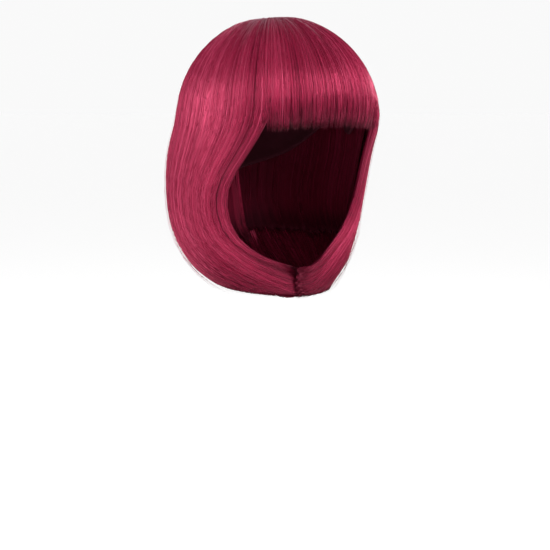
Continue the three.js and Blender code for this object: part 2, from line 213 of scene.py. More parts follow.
def strand_point(around, path):
    """The outer surface of the side and back hair. around: -1 at the left face edge, 0 at the back, 1 at
    the right face edge. path: 0 at the whorl, 1 at the tips."""
    w = np.abs(around)
    side = np.where(around < 0, -1, 1)
    dome_angle = 180 + side * (180 - SECTIONS["edge"][0]) * w
    on_dome = dome_point(dome_angle, 90 * np.minimum(path, DOME_SHARE) / DOME_SHARE)
    t = np.maximum((path - DOME_SHARE) / (1 - DOME_SHARE), 0)
    at = {name: along(SECTIONS, "path", name, t) for name in SECTION_COLUMNS[1:]}
    forward = w + at["sweep"] * w * (1 - w)
    edge = at["edge"] + np.where(around > 0, at["setback"], 0)
    angle = 180 + side * (180 - edge) * forward
    width = HAIR_HALF_WIDTH * at["width"]
    radius = ring_radius(angle, width, HAIR_FRONT * at["front"], HAIR_BACK * at["back"], at["square"])
    raised = at["lift"] * np.minimum(1, w) ** LIFT_POWER + at["nape"] * np.maximum(0, 1 - w) ** 2
    below = polar(angle, radius, DOME_LEVEL - FALL_HEIGHT * (at["drop"] - raised))
    return np.where((path <= DOME_SHARE)[..., None], on_dome, below)


def fringe_point(across, path):
    """The fringe's outer surface. across: -1 at the right temple, 1 at the left."""
    end = mix(FRINGE_END_MIDDLE, FRINGE_END_TEMPLE, across * across)
    down = end * path
    curl = np.clip((down - FRINGE_CURL_START) / (end - FRINGE_CURL_START), 0, 1)
    point = dome_point(FRINGE_HALF_ANGLE * across, down)
    draw_in = 1 - FRINGE_CURL * curl * curl * (1 - eased(np.abs(across), FRINGE_HELD))
    return point * np.stack([draw_in, draw_in, np.ones_like(draw_in)], axis=-1)


def outward(surface, u, v):
    """Outward direction of a surface given as a function of two shares."""
    step = 1e-3
    along_u = surface(u + step, v) - surface(u - step, v)
    along_v = surface(u, v + step) - surface(u, v - step)
    normal = np.cross(along_v, along_u)
    return normal / np.maximum(np.linalg.norm(normal, axis=-1, keepdims=True), 1e-9)


def flowing(surface, length, longer, further, shorter):
    """The surface that a section's strands lie on: its bends along the path rounded off, and towards the
    face edge's tips longer and further out, at the very edge shorter again, all in millimetres."""
    def flow(across, path):
        at_side = eased(np.abs(across), FACE_SIDE)
        at_rim = eased(np.abs(across), FACE_RIM)
        reached = path * (1 + (longer * at_side - shorter * at_rim) / length)
        step = np.clip(np.minimum(reached, 1 - reached), 0, 2 * BEND_STEP / length) / 2
        point = 0
        for k, weight in BEND_WEIGHTS.items():
            point = point + weight * surface(across, reached + k * step)
        out = further * at_side * eased(path, FLARE_PATH)
        grown = 1 + out / np.maximum(np.hypot(point[..., 0], point[..., 1]), AXIS_REACH)
        levelled = LEVEL_OUT * np.maximum(reached - 1, 0) * length
        return np.stack([point[..., 0] * grown, point[..., 1] * grown, point[..., 2] + levelled], axis=-1)

    return flow


def pale_share(points, inside, fade):
    """How pale hair is near the whorl: 1 within one distance of it, fading over another, and further
    forwards and back."""
    from_whorl = np.hypot(points[..., 0], (points[..., 1] - WHORL_BACK) / PALE_ALONG)
    on_top = points[..., 2] > DOME_LEVEL
    return (1 - smooth((from_whorl - inside) / fade)) * on_top


def bulge_noise(place, seed, waves):
    """A smooth wandering number of about -1 to 1 along a share."""
    draw = np.random.default_rng(seed)
    total = np.zeros_like(place)
    for wave in waves:
        total = total + np.sin(2 * math.pi * (wave * place + draw.random())) / len(waves)
    return total


# Meshes
TUBE_SIDES = 3
TUBE_FLATNESS = 0.55

# Places in the uv square. TUBE: how much of its own column a strand fills, and where its end triangles have
# their corners. FACE and INNER: height of a sheet's two faces and where the inner one starts. EDGE: bands of
# its edges.
UV_TUBE_FILL = 0.9
UV_TUBE_END = (0.1, 0.8, 0.45)
UV_FACE_HEIGHT = 0.47
UV_INNER_FROM = 0.48
UV_LAST_EDGE = (0.955, 0.965)
UV_FIRST_EDGE = (0.967, 0.975)
UV_SIDE_EDGES = (0.977, 0.988)
UV_SIDE_HEIGHT = 0.009


def make_object(name, points, loops, starts, uvs, tones):
    """An object from arrays: points in millimetres, corner indices, where each face starts, a uv for
    each corner, and a tone for each point: brightness, share of the way to the tip, and paleness."""
    mesh = bpy.data.meshes.new(name)
    mesh.vertices.add(len(points))
    mesh.vertices.foreach_set("co", (points * MM).astype(np.float32).ravel())
    mesh.loops.add(len(loops))
    mesh.loops.foreach_set("vertex_index", loops.astype(np.int32))
    mesh.polygons.add(len(starts))
    mesh.polygons.foreach_set("loop_start", starts.astype(np.int32))
    mesh.update(calc_edges=True)
    mesh.validate()
    layer = mesh.uv_layers.new(name="OFBake")
    layer.uv.foreach_set("vector", uvs.astype(np.float32).ravel())
    tone = mesh.color_attributes.new(name="tone", type="FLOAT_COLOR", domain="POINT")
    tone.data.foreach_set("color", np.hstack([tones, np.ones((len(tones), 1))]).astype(np.float32).ravel())
    mesh.shade_smooth()
    made = bpy.data.objects.new(name, mesh)
    bpy.context.scene.collection.objects.link(made)
    return made


def dress(piece, material, slot, *nodes):
    """Gives a piece its material, its body and the nodes that it stands for. slot: not used."""
    piece.data.materials.append(material)
    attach(piece, "root")
    if nodes:
        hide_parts(*nodes)


def tubes(name, centres, normals, widths, depths, tones):
    """Closed tapered strands as one mesh. centres and normals: strands x rings x 3. The first and the last
    ring are points. widths and depths: strands x rings."""
    count, rings = centres.shape[:2]
    tangent = np.gradient(centres, axis=1)
    tangent /= np.maximum(np.linalg.norm(tangent, axis=-1, keepdims=True), 1e-9)
    aside = np.cross(tangent, normals)
    aside /= np.maximum(np.linalg.norm(aside, axis=-1, keepdims=True), 1e-9)
    up = np.cross(aside, tangent)
    inner = slice(1, rings - 1)
    left = centres - aside * widths[..., None] / 2 - up * depths[..., None] / 3
    right = centres + aside * widths[..., None] / 2 - up * depths[..., None] / 3
    top = centres + up * depths[..., None] * 2 / 3
    body = np.stack([left, right, top], axis=2)[:, inner]
    inner_rings = rings - 2
    per_strand = inner_rings * TUBE_SIDES + 2
    points = np.concatenate([body.reshape(count, -1, 3), centres[:, :1], centres[:, -1:]], axis=1)
    base = (np.arange(count) * per_strand)[:, None]
    ring = np.arange(inner_rings - 1)[:, None] * TUBE_SIDES
    side = np.arange(TUBE_SIDES)[None, :]
    nxt = (side + 1) % TUBE_SIDES
    quad = np.stack([ring + side, ring + nxt, ring + TUBE_SIDES + nxt, ring + TUBE_SIDES + side], axis=-1)
    quads = (quad.reshape(1, -1) + base).reshape(count, -1, 4)
    root = inner_rings * TUBE_SIDES
    last = (inner_rings - 1) * TUBE_SIDES
    spans = np.arange(TUBE_SIDES)
    spans_next = (spans + 1) % TUBE_SIDES
    cap_root = np.stack([spans_next, spans, np.full(TUBE_SIDES, root)], axis=-1)
    cap_tip = np.stack([last + spans, last + spans_next, np.full(TUBE_SIDES, root + 1)], axis=-1)
    triangle = np.concatenate([cap_root, cap_tip])
    triangles = (triangle.reshape(1, -1) + base).reshape(count, -1, 3)
    loops = np.concatenate([quads.ravel(), triangles.ravel()])
    quad_starts = np.arange(quads.shape[0] * quads.shape[1]) * 4
    tri_starts = quads.size + np.arange(triangles.shape[0] * triangles.shape[1]) * 3
    starts = np.concatenate([quad_starts, tri_starts])
    cell = 1 / count
    place = np.arange(count)[:, None, None]
    k = np.broadcast_to(np.arange(TUBE_SIDES)[None, :], (inner_rings - 1, TUBE_SIDES))
    r = np.broadcast_to(np.arange(inner_rings - 1)[:, None], (inner_rings - 1, TUBE_SIDES))
    quad_u = np.stack([k, k + 1, k + 1, k], axis=-1).reshape(1, -1, 4) / TUBE_SIDES * UV_TUBE_FILL
    quad_v = (np.stack([r, r, r + 1, r + 1], axis=-1).reshape(1, -1, 4) + 1) / (rings - 1)
    quad_uv = np.stack(np.broadcast_arrays((place + quad_u) * cell, quad_v + 0 * place), axis=-1)
    end_u = np.resize(np.array(UV_TUBE_END), 2 * TUBE_SIDES * 3).reshape(1, -1, 3)
    end_rise = np.tile([1, 1, 0], TUBE_SIDES) / (rings - 1)
    end_v = np.concatenate([end_rise, 1 - end_rise]).reshape(1, -1, 3)
    end_uv = np.stack(np.broadcast_arrays((place + end_u) * cell, end_v + 0 * place), axis=-1)
    uvs = np.concatenate([quad_uv.reshape(-1, 2), end_uv.reshape(-1, 2)])
    ring_tones = np.repeat(tones[:, inner], TUBE_SIDES, axis=1).reshape(count, -1, 3)
    all_tones = np.concatenate([ring_tones, tones[:, :1], tones[:, -1:]], axis=1)
    return make_object(name, points.reshape(-1, 3), loops, starts, uvs, all_tones.reshape(-1, 3))


def shell(name, outer, inner, tones, wrap=False, pole=False):
    """A closed sheet between an outer and an inner grid of points. wrap: the last column meets the
    first. pole: the first row is one point."""
    rows, columns = outer.shape[:2]
    points = np.concatenate([outer.reshape(-1, 3), inner.reshape(-1, 3)])
    half = rows * columns
    strip = np.arange(columns if wrap else columns - 1)
    row, column = np.meshgrid(np.arange(rows - 1), strip, indexing="ij")

    def key(layer, r, c):
        wrapped = np.where((r == 0) & pole, 0, c % columns)
        return layer * half + r * columns + wrapped

    faces = []
    uvs = []

    def add(corners, us, vs):
        faces.append(np.stack(corners, axis=-1).reshape(-1, 4))
        uvs.append(np.stack(np.broadcast_arrays(us, vs), axis=-1).reshape(-1, 4, 2))

    u0 = column / columns
    u1 = (column + 1) / columns
    v0 = row / (rows - 1)
    v1 = (row + 1) / (rows - 1)
    face_v = np.stack([v0, v1, v1, v0], axis=-1) * UV_FACE_HEIGHT
    across = column + 1
    down = row + 1
    outside = [key(0, row, column), key(0, down, column), key(0, down, across), key(0, row, across)]
    add(outside, np.stack([u0, u0, u1, u1], axis=-1), face_v)
    inside = [key(1, row, across), key(1, down, across), key(1, down, column), key(1, row, column)]
    add(inside, np.stack([u1, u1, u0, u0], axis=-1), UV_INNER_FROM + face_v)
    c = strip
    last = np.full_like(c, rows - 1)
    first = np.zeros_like(c)
    strip_u = np.stack([c, c, c + 1, c + 1], axis=-1) / columns
    low, high = UV_LAST_EDGE
    tip_edge = [key(0, last, c), key(1, last, c), key(1, last, c + 1), key(0, last, c + 1)]
    add(tip_edge, strip_u, np.array([low, high, high, low]))
    if not pole:
        low, high = UV_FIRST_EDGE
        root_edge = [key(0, first, c + 1), key(1, first, c + 1), key(1, first, c), key(0, first, c)]
        add(root_edge, strip_u, np.array([low, high, high, low]))
    if not wrap:
        r = np.arange(rows - 1)
        strip_r = np.stack([r, r + 1, r + 1, r], axis=-1) / rows
        for low, edge in zip(UV_SIDE_EDGES, (0, columns - 1)):
            e = np.full_like(r, edge)
            side_edge = [key(0, r, e), key(1, r, e), key(1, r + 1, e), key(0, r + 1, e)]
            if edge:
                side_edge = side_edge[::-1]
            high = low + UV_SIDE_HEIGHT
            add(side_edge, strip_r, np.array([low, high, high, low]))
    quads = np.concatenate(faces)
    quad_uvs = np.concatenate(uvs)
    doubled = (quads == np.roll(quads, 1, axis=1)).any(axis=1)
    loops = [quads[~doubled].ravel()]
    corner_uvs = [quad_uvs[~doubled].reshape(-1, 2)]
    starts = [np.arange((~doubled).sum()) * 4]
    used = loops[0].size
    for quad, uv in zip(quads[doubled], quad_uvs[doubled]):
        keep = [k for k in range(4) if quad[k] != quad[k - 1]]
        loops.append(quad[keep])
        corner_uvs.append(uv[keep])
        starts.append(np.array([used]))
        used += len(keep)
    loops = np.concatenate(loops)
    present, loops = np.unique(loops, return_inverse=True)
    starts = np.concatenate(starts)
    corner_uvs = np.concatenate(corner_uvs)
    return make_object(name, points[present], loops.ravel(), starts, corner_uvs, tones[present])


# Materials
# Pale roots near the whorl, partly painted sheen
PALE_ROOTS_AND_SHEEN = (0.9, 0.62, 0.73)
HAIR_SPECULAR = (1.0, 0.36, 0.5)
STREAK_SCALE = (900.0, 7.0, 1.0)
STREAK_WEIGHT = 0.5
STREAK_GLOSS = 0.1
HAIR_RELIEF = 0.0004
NET_ASPECT = 0.6
NET_HOLE_TO = 0.55
NET_THREAD_FROM = 0.9
NET_RELIEF = 0.0005


def shader(name):
    """A new material with its node tree's maker, linker and main shader."""
    material = bpy.data.materials.new(name)
    material.use_nodes = True
    tree = material.node_tree
    return material, tree.nodes.new, tree.links.new, tree.nodes["Principled BSDF"]


def hair_material(name, dark, middle, light, roughness, bump, gloss_level, sheen):
    """Synthetic hair: each strand its own tone, streaked along its length."""
    material, node, link, principled = shader(name)
    tone = node("ShaderNodeAttribute")
    tone.attribute_name = "tone"
    parts = node("ShaderNodeSeparateColor")
    link(tone.outputs["Color"], parts.inputs["Color"])
    uv = node("ShaderNodeUVMap")
    uv.uv_map = "OFBake"
    stretch = node("ShaderNodeMapping")
    stretch.inputs["Scale"].default_value = STREAK_SCALE
    link(uv.outputs["UV"], stretch.inputs["Vector"])
    streak = node("ShaderNodeTexNoise")
    streak.noise_dimensions = "2D"
    streak.inputs["Scale"].default_value = 1.0
    streak.inputs["Detail"].default_value = 2.0
    link(stretch.outputs["Vector"], streak.inputs["Vector"])
    wander = node("ShaderNodeMath")
    wander.operation = "MULTIPLY_ADD"
    wander.inputs[1].default_value = STREAK_WEIGHT
    link(streak.outputs["Fac"], wander.inputs[0])
    offset = node("ShaderNodeMath")
    offset.operation = "SUBTRACT"
    offset.inputs[1].default_value = STREAK_WEIGHT / 2
    link(parts.outputs["Red"], offset.inputs[0])
    link(offset.outputs[0], wander.inputs[2])
    ramp = node("ShaderNodeValToRGB")
    ramp.color_ramp.elements[0].position = 0.0
    ramp.color_ramp.elements[0].color = (*dark, 1)
    ramp.color_ramp.elements[1].position = 1.0
    ramp.color_ramp.elements[1].color = (*light, 1)
    between = ramp.color_ramp.elements.new(0.5)
    between.color = (*middle, 1)
    link(wander.outputs[0], ramp.inputs["Fac"])
    # Mix in the pale roots, partly painted sheen
    roots = node("ShaderNodeMixRGB")
    roots.inputs["Color2"].default_value = (*PALE_ROOTS_AND_SHEEN, 1)
    link(ramp.outputs["Color"], roots.inputs["Color1"])
    link(parts.outputs["Blue"], roots.inputs["Fac"])
    link(roots.outputs["Color"], principled.inputs["Base Color"])
    gloss = node("ShaderNodeMapRange")
    gloss.inputs["To Min"].default_value = roughness + STREAK_GLOSS
    gloss.inputs["To Max"].default_value = roughness - STREAK_GLOSS
    link(streak.outputs["Fac"], gloss.inputs["Value"])
    link(gloss.outputs["Result"], principled.inputs["Roughness"])
    relief = node("ShaderNodeBump")
    relief.inputs["Strength"].default_value = bump
    relief.inputs["Distance"].default_value = HAIR_RELIEF
    link(streak.outputs["Fac"], relief.inputs["Height"])
    link(relief.outputs["Normal"], principled.inputs["Normal"])
    principled.inputs["Metallic"].default_value = sheen
    principled.inputs["Specular IOR Level"].default_value = gloss_level
    principled.inputs["Specular Tint"].default_value = (*HAIR_SPECULAR, 1)
    return material


def net_material(name, thread, hole, cell):
    """Elastic net: crossing threads with darker holes between them."""
    material, node, link, principled = shader(name)
    uv = node("ShaderNodeUVMap")
    uv.uv_map = "OFBake"
    waves = []
    for turn in (45.0, -45.0):
        mapping = node("ShaderNodeMapping")
        mapping.inputs["Rotation"].default_value = (0, 0, math.radians(turn))
        mapping.inputs["Scale"].default_value = (cell, cell * NET_ASPECT, 1)
        link(uv.outputs["UV"], mapping.inputs["Vector"])
        wave = node("ShaderNodeTexWave")
        wave.inputs["Scale"].default_value = 1.0
        wave.inputs["Distortion"].default_value = 0.4
        link(mapping.outputs["Vector"], wave.inputs["Vector"])
        waves.append(wave)
    either = node("ShaderNodeMath")
    either.operation = "MAXIMUM"
    link(waves[0].outputs["Fac"], either.inputs[0])
    link(waves[1].outputs["Fac"], either.inputs[1])
    ramp = node("ShaderNodeValToRGB")
    ramp.color_ramp.elements[0].position = NET_HOLE_TO
    ramp.color_ramp.elements[0].color = (*hole, 1)
    ramp.color_ramp.elements[1].position = NET_THREAD_FROM
    ramp.color_ramp.elements[1].color = (*thread, 1)
    link(either.outputs[0], ramp.inputs["Fac"])
    link(ramp.outputs["Color"], principled.inputs["Base Color"])
    relief = node("ShaderNodeBump")
    relief.inputs["Strength"].default_value = 0.6
    relief.inputs["Distance"].default_value = NET_RELIEF
    link(either.outputs[0], relief.inputs["Height"])
    link(relief.outputs["Normal"], principled.inputs["Normal"])
    principled.inputs["Roughness"].default_value = 0.85
    principled.inputs["Specular IOR Level"].default_value = 0.15
    return material


HAIR = hair_material("hair", dark=(0.075, 0.0015, 0.01), middle=(0.33, 0.015, 0.056),
                     light=(0.62, 0.08, 0.17), roughness=0.32, bump=0.15, gloss_level=0.6, sheen=0.36)
# A darker copy of the hair: painted shade for the inside of the wig and its inner layer
HAIR_INNER_SHADED = hair_material("hair_inner", dark=(0.02, 0.0005, 0.003), middle=(0.075, 0.002, 0.01),
                           light=(0.15, 0.006, 0.026), roughness=0.6, bump=0.15, gloss_level=0.1, sheen=0.0)
NET = net_material("net", thread=(0.075, 0.008, 0.018), hole=(0.012, 0.001, 0.003), cell=260.0)
PATCH = net_material("patch", thread=(0.62, 0.47, 0.40), hole=(0.5, 0.35, 0.29), cell=90.0)


# Heights against the surface, in millimetres
ROOT_LEVEL = -1.9
TIP_LEVEL = -1.6
SEAM_SINK = 1.8
LOCK_LEVEL_SPREAD = 0.2
MASS_BELOW = 2.1

# Strands. Pairs are windows along a strand, as shares of its length, or across its section, or bounds that
# a random number is drawn between.
ROOT_RISE = 11.0
TIP_SINKS = (1.0, 0.75)
GATHER_POWER = 1.5
WANDER_TURN = 3.1
WANDER_SPREAD = 3
LOCK_WIDTHS = (0.3, 1.7)
START_SPREAD = (0.3, 1.6)
GATHER_SPREAD = (0.35, 1.0)
LOCK_GATHER_SPREAD = (0.2, 1.5)
WIDTH_SPREAD = (0.75, 1.25)
STRAY_SPREAD = (0.3, 1.0)
STRAY_WIDTH = 0.45
ROOT_WIDENS = (0.0, 0.3)
ROOT_WIDTH = 0.25
TIP_WIDTH = 0.12
SEAM_FROM = -0.4
POINT_REACH = 1.3
BROAD_WAVES = (2.3, 4.1, 7.7, 13.0)
BROAD_TONE = 0.08
# Painted light and shade: a lock that stands higher is lighter, a lower one darker
LOCK_PAINTED_SHADE = 0.05
# Painted shade on the fill strands that sit lower between the locks
FILL_PAINTED_SHADE = 0.2
# Painted shade on the strands beside the face: where across the section, and where along the strand it
# begins and stops
PAINTED_RIM_SHADE = (0.86, 1.0)
PAINTED_RIM_SHADE_START = (0.34, 0.48)
PAINTED_RIM_SHADE_STOP = (0.8, 0.6)
# Where along a strand the tips get painted shade
PAINTED_TIP_SHADE_PATH = (0.74, 0.98)


def grow(surface, across, start, end, rings, height, clump, clump_pull, gather_from, rise, seed, sway):
    """Centre lines and normals of strands on a surface. across, start and end: one for each strand. height:
    how far each stands above the surface. clump: the share across that its lock gathers to. clump_pull:
    how much it has gathered at the tip, from the share gather_from on. rise: share in which the roots come
    up. sway: how far strands wander."""
    share = np.linspace(0, 1, rings)[None, :]
    path = start[:, None] + (end - start)[:, None] * share
    draw = np.random.default_rng(seed)
    gather = clump_pull[:, None] * eased(share, (gather_from, 1)) ** GATHER_POWER
    wave = draw.normal(0, 1, (len(across), 2))
    drift = sway * wave[:, :1] * np.sin(WANDER_TURN * share + wave[:, 1:] * WANDER_SPREAD) * share
    place = mix(across[:, None], clump[:, None], gather) + drift
    base = surface(place, path)
    normal = outward(surface, place, path)
    risen = eased(share, (0, rise))
    level = mix(ROOT_LEVEL, mix(TIP_LEVEL, height[:, None], eased(share, TIP_SINKS)), risen)
    return base + normal * level[..., None], normal, share + 0 * path


def lock_ends(count, seed, spread):
    """Centres of a row of locks as shares from 0 to 1, and how long each one is against the others."""
    draw = np.random.default_rng(seed)
    widths = draw.uniform(*LOCK_WIDTHS, count)
    edges = np.concatenate([[0], np.cumsum(widths)]) / widths.sum()
    return (edges[1:] + edges[:-1]) / 2, draw.uniform(-spread, spread, count)


def strands(name, surface, low, high, count, locks, length, start, seed, *, width=0.62, level=(-1.0, 0.4),
            short_share=0.25, short_from=(0.06, 0.4), rings=22, lock_spread=3.0, end_spread=2.0, end_gap=1.5,
            fan=0.25, gather_from=0.3, sway=0.0012, facing=1, tone=0.5, streak=0.13, taper=0.12,
            painted_tip_shade=0.4, stray_share=0.02, stray_lift=6.0, overlap=0.0, overlap_cut=0.0,
            fill_share=0.0, fill_depth=0.0, painted_edge_shade=0.0, point=0.0):
    """A section's strands. low and high: its bounds across. length: of a whole strand, in millimetres.
    level: how far they stand above the surface. short_share: how many begin under the top layer, in
    short_from. fan: gather of the locks. facing: 1 outward, -1 inward. taper: share of a strand
    that thins out. painted_tip_shade: how much painted shade darkens the tips. stray_share: how many fine
    hairs stand off, by up to stray_lift. overlap: how far the strands go on past the bounds, there shorter
    by up to
    overlap_cut. fill_share: how many hang straight, fill_depth lower, darkened with painted shade, and close
    the gaps between locks.
    painted_edge_shade: how much painted shade darkens them along the middle of the face edge. point: how
    much shorter a lock's outermost strands are, so that it ends in a point."""
    draw = np.random.default_rng(seed)
    across = low - overlap + (high - low + 2 * overlap) * (np.arange(count) + draw.random(count)) / count
    centres, offsets = lock_ends(locks, seed + 1, lock_spread)
    centres = low + (high - low) * centres
    nearest = np.abs(across[:, None] - centres[None, :]).argmin(axis=1)
    short = draw.random(count) < short_share
    start = np.where(short, draw.uniform(*short_from, count), start * draw.uniform(*START_SPREAD, count))
    ragged = draw.normal(0, end_spread, count)
    past = np.maximum(low - across, across - high) / (overlap + 1e-6)
    cut = (past > SEAM_FROM) * draw.random(count) * overlap_cut
    from_centre = np.abs(across - centres[nearest]) * 2 * locks / (high - low)
    pointed = point * np.minimum(from_centre, POINT_REACH) ** 2
    end = 1 - (end_gap + offsets[nearest] + ragged + pointed) / length - cut
    lock_level = draw.normal(0, LOCK_LEVEL_SPREAD, locks)[nearest]
    height = lock_level + draw.uniform(*level, count) - SEAM_SINK * smooth(past)
    pull = draw.uniform(*GATHER_SPREAD, count) * fan * draw.uniform(*LOCK_GATHER_SPREAD, locks)[nearest]
    fills = draw.random(count) < fill_share
    pull = np.where(fills, 0, pull)
    height = np.where(fills, height - fill_depth, height)
    lines, normals, share = grow(surface, across, start, end, rings, height, centres[nearest], pull,
                                 gather_from, ROOT_RISE / length, seed + 2, sway)
    stray = draw.random(count) < stray_share
    lift = np.where(stray, draw.uniform(*STRAY_SPREAD, count) * stray_lift, 0)[:, None] * share**2
    lines = lines + normals * lift[..., None]
    thick = np.where(stray, STRAY_WIDTH, draw.uniform(*WIDTH_SPREAD, count))[:, None] * width
    root = mix(ROOT_WIDTH, 1.0, eased(share, ROOT_WIDENS))
    tip = mix(TIP_WIDTH, 1.0, eased(share, (1, 1 - taper)))
    widths = thick * root * tip
    broad = bulge_noise((across - low) / (high - low), seed + 3, BROAD_WAVES) * BROAD_TONE
    # Painted light and shade by lock height, on top of random tone
    brightness = np.clip(tone + draw.normal(0, streak, count) + broad + LOCK_PAINTED_SHADE * lock_level, 0, 1)
    # The fill strands between the locks get painted shade
    brightness = np.where(fills, brightness - FILL_PAINTED_SHADE, brightness)
    pale_reach = PALE_FADE * mix(*PALE_REACH, draw.random(count) ** PALE_RARITY)
    pale = pale_share(lines, PALE_INSIDE, pale_reach[:, None]) * PALE_MOST
    # Painted shade along the middle of the face edge
    at_rim = eased(np.abs(across), PAINTED_RIM_SHADE)[:, None]
    at_rim = at_rim * eased(share, PAINTED_RIM_SHADE_START) * eased(share, PAINTED_RIM_SHADE_STOP)
    # Painted shade darkens the tips
    at_tip = eased(share * (1 - cut[:, None]), PAINTED_TIP_SHADE_PATH)
    shaded = np.clip(brightness[:, None] - painted_tip_shade * at_tip - painted_edge_shade * at_rim, 0, 1)
    tones = np.stack([shaded, share, pale], axis=-1)
    return tubes(name, lines, normals * facing, widths, widths * TUBE_FLATNESS, tones)


# The mass under the strands
MASS_TONE = 0.36
MASS_END_GAP = 3.0
MASS_END_SPREAD = 1.5
MASS_ROOT = 1.2
MASS_TIP = 1.4
MASS_SWELLS = (0.0, 0.2)
MASS_THINS = (1.0, 0.8)
# Painted shade towards the mass's lower end, and where along it that shade falls
MASS_PAINTED_TIP_SHADE = 0.4
MASS_PAINTED_TIP_SHADE_PATH = (0.78, 0.98)
FURROW_WAVES = (23, 41, 67, 97)
FURROW_DEPTH = 0.5
# Painted shade in the furrows and painted light on the ridges between them
FURROW_PAINTED_SHADE = 0.25
FURROW_DEEPENS = (0.0, 0.3)
LOCK_STEP = 5.0


def body_shell(name, surface, low, high, columns, rows, start, end, length, seed, thickness, locks):
    """The mass of a section under its strands: a closed sheet with fine furrows that run with the hair. end:
    the share at which it stops under them."""
    across = np.linspace(low, high, columns)
    path_rows = np.linspace(0, 1, rows)
    centres, offsets = lock_ends(locks, seed + 1, 1.0)
    centres = low + (high - low) * centres
    gaps = np.abs(across[:, None] - centres[None, :])
    nearest = gaps.argmin(axis=1)
    half_lock = (high - low) / locks / 2
    notch = np.clip(gaps.min(axis=1) / half_lock, 0, 1) ** 2
    stop = end - (LOCK_STEP * notch + MASS_END_GAP + MASS_END_SPREAD * offsets[nearest]) / length
    path = start + (stop - start)[None, :] * path_rows[:, None]
    place = np.broadcast_to(across[None, :], path.shape)
    base = surface(place, path)
    normal = outward(surface, place, path)
    span = (place - low) / (high - low)
    deepened = FURROW_DEPTH * eased(path_rows, FURROW_DEEPENS)[:, None]
    furrow = bulge_noise(span, seed + 5, FURROW_WAVES) * deepened
    swelling = eased(path_rows, MASS_SWELLS)[:, None]
    thinning = eased(path_rows, MASS_THINS)[:, None]
    outer_level = furrow - MASS_BELOW
    depth = mix(MASS_TIP, mix(MASS_ROOT, thickness - MASS_BELOW, swelling), thinning)
    outer = base + normal * outer_level[..., None]
    inner = base + normal * (outer_level - depth)[..., None]
    # Painted shade towards the lower end
    at_tip = eased(path_rows, MASS_PAINTED_TIP_SHADE_PATH)[:, None]
    # Darker in the furrows, lighter on the ridges: painted shade and light
    tone = np.clip(MASS_TONE + FURROW_PAINTED_SHADE * furrow - MASS_PAINTED_TIP_SHADE * at_tip, 0, 1)
    pale = pale_share(outer, PALE_MASS_INSIDE, PALE_MASS_FADE) * PALE_MASS_MOST
    flat = np.stack([tone, np.broadcast_to(path_rows[:, None], tone.shape), pale], axis=-1).reshape(-1, 3)
    return shell(name, outer, inner, np.concatenate([flat, flat]))


def under_point(around, path):
    """The outer form of the inner layer. Lower down its right edge comes out towards the front."""
    place = mix(UNDER_START_SHARE, UNDER_END_SHARE, path)
    flare = UNDER_FLARE * smooth((path - UNDER_FLARE_START) / UNDER_FLARE_START)
    turned = around + flare * np.maximum(0, around) ** 3
    return strand_point(turned, place) - outward(strand_point, turned, place) * UNDER_INSET


# Where on their way the strands begin, how far down it the fringe's mass ends and how much narrower that is
# than its strands, and how thick a mass is.
WHORL_START = 0.022
FRINGE_START = 0.045
FRINGE_MASS_END = 0.955
MASS_INSET = 0.05
MASS_THICKNESS = 7.0
MASS_GRID = (110, 36)
UNDER_GRID = (80, 22)

# Outer sections. node, surface, bounds across, strand length, start of the roots, seed, locks, and how much
# longer and further out the face edge's tips lie, and how much shorter they are at the very edge.
OUTER_SECTIONS = (
    ("fringe", fringe_point, -1.0, 1.0, FRINGE_LENGTH, FRINGE_START, 31, 24, 0.0, 0.0, 0.0),
    ("side_left", strand_point, -1.0, -BACK_SHARE, STRAND_LENGTH, WHORL_START, 47, 22, 19.0, 2.0, 8.0),
    ("back", strand_point, -BACK_SHARE, BACK_SHARE, STRAND_LENGTH, WHORL_START, 61, 30, 0.0, 0.0, 0.0),
    ("side_right", strand_point, BACK_SHARE, 1.0, STRAND_LENGTH, WHORL_START, 83, 22, 17.0, -1.4, 21.0),
)
# End of the mass below the top strands, and what strands() takes for them.
TOP_LAYER = {
    "fringe": (FRINGE_MASS_END, dict(count=2300, rings=16, end_spread=2.2, lock_spread=1.5, fan=0.45,
                                     gather_from=0.68, end_gap=0.0, width=0.62, painted_tip_shade=0.55, taper=0.09,
                                     stray_share=0.004, overlap=0.2, overlap_cut=0.5, fill_share=0.28,
                                     fill_depth=1.8, point=0.8)),
    "side_left": (1.0, dict(count=1350, overlap=0.03, painted_edge_shade=0.15, point=2.0)),
    "back": (1.0, dict(count=1350, overlap=0.01, point=3.0)),
    "side_right": (1.0, dict(count=1600, overlap=0.03, painted_edge_shade=0.19, point=3.0)),
}
# The strands on the inside of a section, darker with painted shade
LINING = dict(count=300, width=1.3, level=(-7.8, -6.2), short_share=1.0, short_from=(0.42, 0.6), rings=14,
              facing=-1, stray_share=0.0)
for node, form, low, high, length, start, seed, locks, longer, further, shorter in OUTER_SECTIONS:
    mass_end, manner = TOP_LAYER[node]
    surface = flowing(form, length, longer, further, shorter)
    inset = MASS_INSET if form is fringe_point else 0
    mass = body_shell(node + "_mass", surface, low + inset, high - inset, *MASS_GRID, start, mass_end,
                      length, seed, MASS_THICKNESS, locks)
    dress(mass, HAIR, "hair", node)
    top = strands(node + "_strands", surface, low, high, locks=locks, length=length, start=start, seed=seed,
                  **manner)
    dress(top, HAIR, "hair")
    if form is strand_point:
        lining = strands(node + "_lining", surface, low, high, locks=locks, length=length, start=start,
                         seed=seed + 7, **LINING)
        dress(lining, HAIR_INNER_SHADED, "hair_inner")

